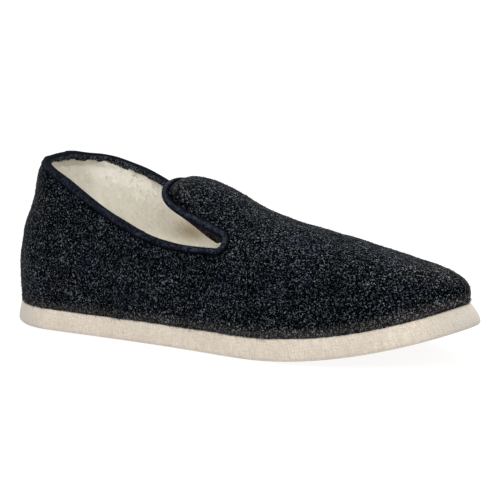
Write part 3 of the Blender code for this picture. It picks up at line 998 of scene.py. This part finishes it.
def makeTape():
    # the section is carried along the cut edge: down the legs it follows the felt's face, over the edge it
    # stands free
    path = edgePath(tape["step"])
    points, facing, span = edgeFrame(path)
    outward = unit(np.cross(facing, np.roll(points, -1, 0) - np.roll(points, 1, 0)))
    leg = path.copy()
    leg[:, :2] -= (np.linalg.pinv(span) @ (tape["legReach"] * outward)[..., None])[..., 0]
    legPoints, legFacing = edgeFrame(leg)[:2]
    run = runAlong(points)
    ring = run[-1] + np.linalg.norm(points[0] - points[-1])
    up = closedCurve(tape["up"], tape["sectionCount"]) * mm
    proud = closedCurve(tape["proud"], tape["sectionCount"]) * mm
    bendUp, bendProud = (np.roll(line, -1) - np.roll(line, 1) for line in (up, proud))
    size = np.hypot(bendUp, bendProud)
    # ribs, the lap of the two ends and a slight waver lift the shown side of the section
    shown = np.arange(tape["sectionCount"]) < tape["sectionCount"] * tape["shownPoints"] / len(tape["up"])
    ribCount = round(ring / tape["ribPeriod"])
    ribs = tape["ribHeight"] * np.cos(2 * np.pi * ribCount * run / ring)
    fromHeel = ring - run
    lapEnd = tape["lapStart"] + tape["lapLength"]
    lap = smooth(tape["lapStart"] - tape["lapStep"], tape["lapStart"], fromHeel)
    lap *= smooth(lapEnd, lapEnd - tape["lapFade"], fromHeel)
    waver = ripples(points, tape["seed"], tape["waver"])
    lift = (ribs + waver + lap * tape["lapHeight"])[:, None] * shown
    # bunched up in the notch on either side
    half = len(path) // 2
    notches = run[[path[:half, 0].argmax(), half + path[half:, 0].argmax()]]
    fromNotch = (run[:, None] - notches) * (1, -1)
    bunch = tape["bunch"] * bell(fromNotch, 0, tape["bunchReach"]).sum(1)
    # beside the notch the tongue's inner half stands out past the fold as a lip
    pastNotch = np.clip(fromNotch.min(1), 0, None)
    lipShare = smooth(0, tape["lipRamp"], pastNotch)
    lipShare *= bell(np.clip(pastNotch, tape["lipRamp"], None), tape["lipRamp"], tape["lipReach"])
    innerHalf = smooth(*tape["lipProud"], proud)
    lip = tape["lipOut"] * lipShare[:, None] * innerHalf * smooth(*tape["lipUp"], up)
    # uneven lower border inside, where the pile starts, drawn up towards the tongue
    legEnd = smooth(*tape["legEndUp"], up)
    uneven = ripples(points, tape["seed"] + 1, *tape["ragged"])
    uneven += tape["legShort"] * smooth(*tape["shortRun"], points[:, 0]) * (path[:, 3] == 0)
    lip += uneven[:, None] * legEnd * (proud < tape["innerLeg"])
    sectionUp = up + lift * -bendProud / size + bunch[:, None] * smooth(*tape["bunchUp"], up) + lip
    sectionProud = proud + lift * bendUp / size - heelTuck(points[:, :1], np.clip(-up, 0, None))
    down = np.clip(-sectionUp / tape["legReach"], 0, tape["mostDown"])[..., None]
    base = points[:, None] + (legPoints - points)[:, None] * down
    toward = unit(facing[:, None] * (1 - down) + legFacing[:, None] * down)
    surface = base + toward * sectionProud[..., None]
    surface += outward[:, None] * np.clip(sectionUp, 0, None)[..., None]
    rows, columns = surface.shape[:2]
    uv = np.stack([np.repeat(run, columns), np.tile(runAlong(np.stack([up, proud], -1)), rows)], -1)
    # the fold, where the painted highlight lies and the coat shines
    onFold = bell(up, *tape["ridgeBand"]) * smooth(*tape["ridgeProud"], proud)
    values = {
        "inside": np.tile(smooth(*tape["fleckProud"], proud), rows),
        # painted shade on the outer leg along the felt
        "border": np.tile(tape["borderShade"] * legEnd * (proud > tape["outerLeg"]), rows),
        "warm": (np.clip(lipShare * tape["lipWarm"], 0, 1)[:, None] * innerHalf).ravel(),
        "ridge": np.tile(onFold, rows),
    }
    cells = gridQuads(rows + 1, columns, closed=True) % (rows * columns)  # the last row joins the first
    points = surface.reshape(-1, 3)
    piece = newPiece("collarTape", points, cells, makeTapeMaterial(), uv, values)
    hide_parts("collar_binding")


makeTape()
print("collar tape made")

# the fleece lining: a soft wall inside the felt, puffed out under the tape, with short standing pile
fleece = {
    "counts": {"quarter": 104, "vamp": 76, "tongue": 48, "wallRows": 30, "crownRows": 24},
    "gap": 2.35 * mm,
    "edgeDepth": 2.8 * mm,
    "puff": 2.9 * mm,
    "puffEnd": 12.0 * mm,
    "tufts": (7 * mm, 0.3 * mm),
    "seed": 31,
    "light": (0.95, 0.925, 0.845),
    "shade": (0.92, 0.885, 0.795),
    "clouds": (95.0, 0.3, 0.75),
    "toneShare": 0.5,
    "curls": {"Scale": 420.0, "Band": 0.14, "Gap": 0.3},
    "bump": (0.25, 0.4 * mm),
    "dusk": (0.60, 0.555, 0.47),
    "duskRim": 0.2,
    "rimEdge": (14 * mm, 5 * mm),
    "duskHeel": 0.6,
    "heelRun": (-103 * mm, -117 * mm),
    "duskTongue": 0.45,
    "tongueRun": (-102 * mm, -58 * mm),
    "tongueRise": (40 * mm, 47 * mm),
    # painted shadow colour in the hollow under the tongue
    "hollowShadow": (0.40, 0.31, 0.20),
    "hollowShare": 0.82,
    "hollowPlace": (-47.0 * mm, 25.5 * mm, 46 * mm),
    "hollowReach": (10.5 * mm, 9 * mm, 5.2 * mm),
}

# a hair: its points, the shares of its stand and flow at the middle and the end, and a random stray
hair = {"points": 7, "midStand": 0.62, "midFlow": 0.38, "endStand": 0.78, "midRadius": 0.8, "stray": 0.12}

# the pile on the lining and the footbed, and its fringe over the tape's lower border
pile = {
    "wallCount": 15000,
    "footbedCount": 7000,
    "fringeCount": 7000,
    "wallSeeds": {-1: 41, 1: 51},
    "fringeSeed": 61,
    "footbedSeed": 71,
    "quickShare": 0.25,
    "length": (1.4 * mm, 3.0 * mm),
    "radius": (0.05 * mm, 0.11 * mm),
    "root": 0.3 * mm,
    "stand": 0.30,
    "lie": 0.72,
    "swirl": 1.1,
    "swirlSize": 13 * mm,
    "stray": 0.35,
    "wallLean": (0, 0, 0.35),
    "footbedLean": (0, 0, 0),
    "edgeStart": 3.2 * mm,
    "pastNotch": 24 * mm,
    "hiddenWall": 0.06,
    "footbedFront": 20 * mm,
    "hiddenFootbed": 0.1,
    "fringeSpan": (3.2 * mm, 5.0 * mm),
    "fringeLength": 2.2 * mm,
    "fringeVary": (0.6, 1.1),
    "fringeReach": 0.7,
    "fringeWave": (9 * mm, 0.4),
    "fringeLimits": (0.15, 1.2),
    "fringeRadius": 1.5,
    "fringeStand": -0.55,
    "fringeLie": 0.8,
    "fringeAside": 0.4,
    "fringeShade": 0.4,
}


def hollowShade(points):
    # painted shadow: 1 in the hollow under the tongue's edge, a bell curve along each axis
    away = (points - fleece["hollowPlace"]) / fleece["hollowReach"]
    return np.exp(-(away**2).sum(1))


def duskShade(points, distance):
    # shaded close under the cut edge, at the back of the heel and beside the tongue, each a smooth step
    rim = fleece["duskRim"] * smooth(*fleece["rimEdge"], distance)
    heel = fleece["duskHeel"] * smooth(*fleece["heelRun"], points[:, 0])
    beside = smooth(*fleece["tongueRun"], points[:, 0]) * smooth(*fleece["tongueRise"], points[:, 2])
    return 1 - (1 - rim) * (1 - heel) * (1 - fleece["duskTongue"] * beside)


def makeFleeceMaterial(name, withTone):
    # cream wool in soft clouds, with painted shade and a browner painted shadow in the hollow under the
    # tongue; a hair's own tone shifts it a little
    material, tree, shader = newMaterial(name, Roughness=1.0, Specular_IOR_Level=0.0)
    spot = put(tree, "TexCoord").outputs["Object"]
    cloud = mottle(spot, *fleece["clouds"])
    if withTone:
        own = fleece["toneShare"]
        cloud = plus(times(cloud, 1 - own), times(stored(tree, "tone"), own))
    hollowShadow = times(stored(tree, "hollowShadow"), fleece["hollowShare"])
    wool = layered(fleece["light"], (cloud, fleece["shade"]), (stored(tree, "dusk"), fleece["dusk"]),
                   (hollowShadow, fleece["hollowShadow"]))
    tree.links.new(wool, shader.inputs["Base Color"])
    if not withTone:
        curls = place(fleckGroup, spot, **fleece["curls"])["Nap"]
        bumped(shader, curls, *fleece["bump"])
    return material


def makeLining():
    # shell between the felt's inner face and the pile's face, thin at the cut edge and raised into tufts
    # below it
    points, quads, places = upperGrid(fleece["counts"])
    facing = normalsOf(points, quads)
    distance = edgeNear(points)[1]
    tufts = ripples(points, fleece["seed"], fleece["tufts"])
    depth = fleece["edgeDepth"] + (fleece["puff"] + tufts) * smooth(0, fleece["puffEnd"], distance)
    points = points - facing * heelTuck(points[:, 0], distance)[:, None]
    inner = points - facing * depth[:, None]
    solid, cells = shell(points - facing * fleece["gap"], inner, quads)
    values = {"hollowShadow": hollowShade(solid), "dusk": np.tile(duskShade(points, distance), 2)}
    newPiece("fleeceLining", solid, cells, fleeceMaterial, values=values)
    return inner, quads, distance, places


def scatter(points, quads, weight, count, rng):
    # random places on a mesh: a cell by its weighted area, then a bilinear spot inside it
    a, b, c, d = (points[quads[:, k]] for k in range(4))
    facing = np.cross(c - a, d - b)
    area = np.linalg.norm(facing, axis=1) * weight[quads].mean(1)
    cell = rng.choice(len(quads), count, p=area / area.sum())
    u, v = rng.random((2, count, 1))
    spot = (a[cell] * (1 - u) + b[cell] * u) * (1 - v) + (d[cell] * (1 - u) + c[cell] * u) * v
    return spot, unit(facing[cell])


def strands(root, stand, flow, length, radius, rng):
    # three sided hairs: a root ring, a middle ring on a bent line and a point at the tip
    stray = rng.normal(size=(2, len(root), 3)) * hair["stray"]
    size = length[:, None]
    middle = root + (stand * hair["midStand"] + flow * hair["midFlow"] + stray[0]) * size
    end = root + (stand * hair["endStand"] + flow + stray[1]) * size
    ahead = unit(end - root)
    first = unit(np.cross(ahead, rng.normal(size=root.shape)))
    second = np.cross(ahead, first)
    turn = 2 * np.pi * np.arange(3)[:, None] / 3
    ring = (first[:, None] * np.cos(turn) + second[:, None] * np.sin(turn)) * radius[:, None, None]
    rings = [root[:, None] + ring, middle[:, None] + ring * hair["midRadius"], end[:, None]]
    points = np.concatenate(rings, 1)
    sides = [(0, 1, 4, 3), (1, 2, 5, 4), (2, 0, 3, 5)]
    ends = [(3, 4, 6, 6), (4, 5, 6, 6), (5, 3, 6, 6), (0, 2, 1, 1)]
    quads = np.arange(len(root))[:, None, None] * hair["points"] + np.array(sides + ends)
    return points.reshape(-1, 3), quads.reshape(-1, 4)


def onFace(vectors, facing):
    # the vectors less their part along the face's normal, one unit long
    return unit(vectors - facing * (vectors * facing).sum(1, keepdims=True))


def putPile(name, root, distance, hairs, cells, tone):
    # joined hairs as one piece, each hair with one tone and the shade of its root
    each = hair["points"]
    dusk = np.repeat(duskShade(root, distance), each)
    values = {"tone": np.repeat(tone, each), "hollowShadow": hollowShade(hairs), "dusk": dusk}
    newPiece(name, hairs, cells, pileMaterial, values=values)


def pileOn(name, face, inward, weight, count, seed, lean):
    # pile on a face: hairs stand off it and lie along a flow field that turns smoothly from place to place
    rng = np.random.default_rng(seed)
    root, facing = scatter(*face, weight, count, rng)
    facing = facing * inward
    swirl = np.stack([softNoise(root, pile["swirlSize"], seed + k) for k in range(3)], -1) * pile["swirl"]
    flow = onFace(swirl + rng.normal(size=root.shape) * pile["stray"] + lean, facing) * pile["lie"]
    length = rng.uniform(*pile["length"], count)
    radius = rng.uniform(*pile["radius"], count)
    sunk = root - facing * pile["root"]
    hairs, cells = strands(sunk, facing * pile["stand"], flow, length, radius, rng)
    putPile(name, root, edgeNear(root)[1], hairs, cells, rng.random(count))


def fringeOn(face, weight, count, seed):
    # hairs that climb from the lining over the tape's lower border, in scallops: longer and shorter by
    # soft noise
    rng = np.random.default_rng(seed)
    root, facing = scatter(*face, weight, count, rng)
    nearest, distance = edgeNear(root)
    climb = onFace(nearest - root, facing)
    aside = np.cross(facing, climb) * rng.normal(size=(count, 1)) * pile["fringeAside"]
    reach = pile["fringeReach"] + ripples(root, seed + 1, pile["fringeWave"])
    length = pile["fringeLength"] * np.clip(reach, *pile["fringeLimits"])
    length *= rng.uniform(*pile["fringeVary"], count)
    radius = rng.uniform(*pile["radius"], count) * pile["fringeRadius"]
    raised = root + facing * pile["root"]
    flow = unit(climb + aside) * pile["fringeLie"]
    hairs, cells = strands(raised, facing * pile["fringeStand"], flow, length, radius, rng)
    # painted shade: fringe hairs lean to the darker cream, which holds down the light they catch as they
    # stand out
    tone = pile["fringeShade"] + (1 - pile["fringeShade"]) * rng.random(count)
    putPile("fleeceFringe", root, distance, hairs, cells, tone)


fleeceMaterial = makeFleeceMaterial("fleeceBase", False)
pileMaterial = makeFleeceMaterial("fleecePile", True)
liningInner, liningQuads, liningDistance, liningPlaces = makeLining()
liningFace = (liningInner, liningQuads)
nearOpening = np.where(liningPlaces[:, 0] < notch + pile["pastNotch"], 1.0, pile["hiddenWall"])
clear = (liningDistance > pile["edgeStart"]) * 1.0
hairShare = 1.0
for sideName, side in (("Outer", -1), ("Inner", 1)):
    weight = nearOpening * clear * (liningPlaces[:, 2] == side) + tiny
    pileOn("fleecePile" + sideName, liningFace, -1, weight, int(pile["wallCount"] * hairShare),
           pile["wallSeeds"][side], pile["wallLean"])
atBorder = (liningDistance > pile["fringeSpan"][0]) & (liningDistance < pile["fringeSpan"][1])
fringeOn(liningFace, atBorder + tiny, int(pile["fringeCount"] * hairShare), pile["fringeSeed"])
print("fleece lining made")

# the footbed: a low pad of the same fleece on the sole
footbed = {
    "inset": np.array((8.2, 8.6, 19.0)) * mm,  # side, heel, toe
    "outlineCount": 110,
    "rings": 22,
    "spineEnds": (30 * mm, 62 * mm),
    "crown": 0.36 * mm,
    "crownReach": 26 * mm,
    "edge": 1.6 * mm,
    "tufts": (7 * mm, 0.35 * mm),
    "tuftReach": 6 * mm,
    "seed": 61,
    "upright": 0.5,
}


def makeFootbed():
    # rings shrinking from the outline to the middle line, the top crowned and rounded over at the border
    count = footbed["outlineCount"]
    loop = 2 * (count - 1)
    rim = outlineLoop(footbed["inset"], 0, count) + origin
    rim[:, 2] = featherHeight(rim[:, 0])
    heelEnd, toeEnd = footbed["spineEnds"]
    spineX = np.clip(rim[:, 0], heelEnd, last["length"] - toeEnd)
    spine = np.stack([spineX, centreLine(rim[:, 0]), rim[:, 2]], -1)
    share = np.sin(np.linspace(0, np.pi / 2, footbed["rings"]))
    top = rim + (spine - rim) * share[:, None, None]
    top[..., 2] = featherHeight(top[..., 0])
    border = np.linalg.norm((top - rim)[..., :2], axis=-1)
    thick = last["insoleThickness"] - edgeRound(footbed["edge"], np.clip(border, 0, footbed["edge"]))
    tufts = ripples(top.reshape(-1, 3), footbed["seed"], footbed["tufts"]).reshape(thick.shape)
    tufts *= smooth(0, footbed["tuftReach"], border)
    top[..., 2] += thick + footbed["crown"] * (smooth(0, footbed["crownReach"], border) - 1) + tufts
    points = np.concatenate([rim[None], top]).reshape(-1, 3) - origin
    cells = np.concatenate([
        gridQuads(footbed["rings"] + 1, loop, closed=True),
        capQuads(0, count, True),
        capQuads(footbed["rings"] * loop, count, False),
    ])
    points, cells = weld(points, cells)
    piece = newPiece("fleeceFootbed", points, cells, fleeceMaterial)
    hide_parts("insole")
    return points, cells


footbedPoints, footbedCells = makeFootbed()
facesUp = normalsOf(footbedPoints, footbedCells)[:, 2] > footbed["upright"]
inView = np.where(footbedPoints[:, 0] < pile["footbedFront"], 1.0, pile["hiddenFootbed"])
pileOn("footbedPile", (footbedPoints, footbedCells), 1, facesUp * inView + tiny,
       int(pile["footbedCount"] * hairShare), pile["footbedSeed"], pile["footbedLean"])
print("footbed made")

# loose wool on the felt
fuzz = {
    "count": 12000,
    "edgeCount": 9000,
    "seed": 81,
    "edgeSeed": 91,
    "length": (0.9 * mm, 2.6 * mm),
    "radius": (0.04 * mm, 0.10 * mm),
    "root": 0.05 * mm,
    "lie": 0.9,
    "stand": 0.12,
    "edgeStand": 0.35,
    "standVary": (0.2, 1.8),
    "fall": (0, 0, 0),
    "edgeFall": (0, 0, -1.6),
    "tapeClear": 3.7 * mm,
    "edgeHeight": 2.2 * mm,
    "dark": (0.0008, 0.0016, 0.0021),
    "light": (0.24, 0.26, 0.285),
    "tonePower": 3.0,
}


def makeFuzzMaterial():
    # a hair's own tone, bent towards the dark end
    material, tree, shader = newMaterial("looseWool", Roughness=1.0, Specular_IOR_Level=0.0)
    tone = calc("POWER", stored(tree, "tone"), fuzz["tonePower"])
    tree.links.new(blend(tone, fuzz["dark"], fuzz["light"]), shader.inputs["Base Color"])
    return material


def fuzzOn(name, weight, count, stand, fall, seed):
    # short curled hairs lying every way on the felt, or along the fall, their roots just under its face
    rng = np.random.default_rng(seed)
    root, facing = scatter(feltPoints, feltQuads, weight, count, rng)
    flow = onFace(rng.normal(size=root.shape) + fall, facing) * fuzz["lie"]
    length = rng.uniform(*fuzz["length"], count)
    radius = rng.uniform(*fuzz["radius"], count)
    away = facing * stand * rng.uniform(*fuzz["standVary"], (count, 1))
    hairs, cells = strands(root - facing * fuzz["root"], away, flow, length, radius, rng)
    tone = np.repeat(rng.random(count), hair["points"])
    newPiece(name, hairs, cells, fuzzMaterial, values={"tone": tone})


fuzzMaterial = makeFuzzMaterial()
feltRise = feltPoints[:, 2] - featherHeight(feltPlaces[:, 0])
offTape = (feltDistance > fuzz["tapeClear"]) * 1.0
atSole = (feltRise < fuzz["edgeHeight"]) + tiny
fuzzOn("feltFuzz", offTape, int(fuzz["count"] * hairShare), fuzz["stand"], fuzz["fall"], fuzz["seed"])
fuzzOn("edgeFuzz", atSole, int(fuzz["edgeCount"] * hairShare), fuzz["edgeStand"], fuzz["edgeFall"],
       fuzz["edgeSeed"])
print("loose wool made")

# pale floor, white surroundings and soft lamps
studio = {
    "floorSize": 7.0,
    "floorSides": 64,
    "floorColour": (0.15, 0.15, 0.15),
    "floorDim": 0.995,
    "floorClouds": (3.0, 0.2, 0.8),
    "floorGlow": 0.86,
    "skyColour": (1.0, 1.0, 1.0),
    "horizon": 0.15,
    "zenith": 2.25,
    "lamps": (  # name, place, width, power
        ("key", (-0.6, -0.9, 1.9), 1.4, 6.0),
        ("fill", (1.9, 0.2, 1.0), 1.2, 8.0),
        ("back", (-0.3, 1.3, 1.6), 1.4, 8.0),
    ),
}


def makeFloor():
    # a disc of pale paper, slightly clouded, that also glows so that shadows stay faint
    turn = np.linspace(0, 2 * np.pi, studio["floorSides"] + 1)[:-1]
    rim = np.stack([np.cos(turn), np.sin(turn), 0 * turn], -1) * studio["floorSize"]
    mesh = bpy.data.meshes.new("floor")
    mesh.from_pydata(rim.tolist(), [], [list(range(studio["floorSides"]))])
    material, tree, shader = newMaterial("floorPaper", Roughness=0.9, Specular_IOR_Level=0.0,
                                         Emission_Color=(1, 1, 1, 1), Emission_Strength=studio["floorGlow"])
    spot = put(tree, "TexCoord").outputs["Object"]
    cloud = mottle(spot, *studio["floorClouds"])
    pale = studio["floorColour"]
    dimmed = tuple(v * studio["floorDim"] for v in pale)
    tree.links.new(blend(cloud, pale, dimmed), shader.inputs["Base Color"])
    mesh.materials.append(material)
    floor = bpy.data.objects.new("floor", mesh)
    bpy.context.scene.collection.objects.link(floor)


def makeSky():
    # brighter overhead, in a straight line with the height of the direction, and white to the camera
    world = bpy.data.worlds.new("studio")
    world.use_nodes = True
    tree = world.node_tree
    sky = tree.nodes["Background"]
    sky.inputs["Color"].default_value = (*studio["skyColour"], 1)
    height = put(tree, "SeparateXYZ", {0: put(tree, "TexCoord").outputs["Generated"]}).outputs[2]
    rising = {"Value": height, "To Min": studio["horizon"], "To Max": studio["zenith"]}
    strength = put(tree, "MapRange", rising).outputs[0]
    seen = put(tree, "LightPath").outputs["Is Camera Ray"]
    tree.links.new(calc("MAXIMUM", strength, seen), sky.inputs["Strength"])
    bpy.context.scene.world = world


def makeLamps():
    # one large round lamp for each row, aimed at the slipper
    for name, where, size, power in studio["lamps"]:
        lamp = bpy.data.lights.new(name, "AREA")
        lamp.shape = "DISK"
        lamp.size = size
        lamp.energy = power
        holder = bpy.data.objects.new(name, lamp)
        holder.location = where
        holder.rotation_euler = (aim - Vector(where)).to_track_quat("-Z", "Y").to_euler()
        bpy.context.scene.collection.objects.link(holder)


makeFloor()
makeSky()
makeLamps()
bpy.context.scene.view_settings.view_transform = "Standard"
print("studio set")
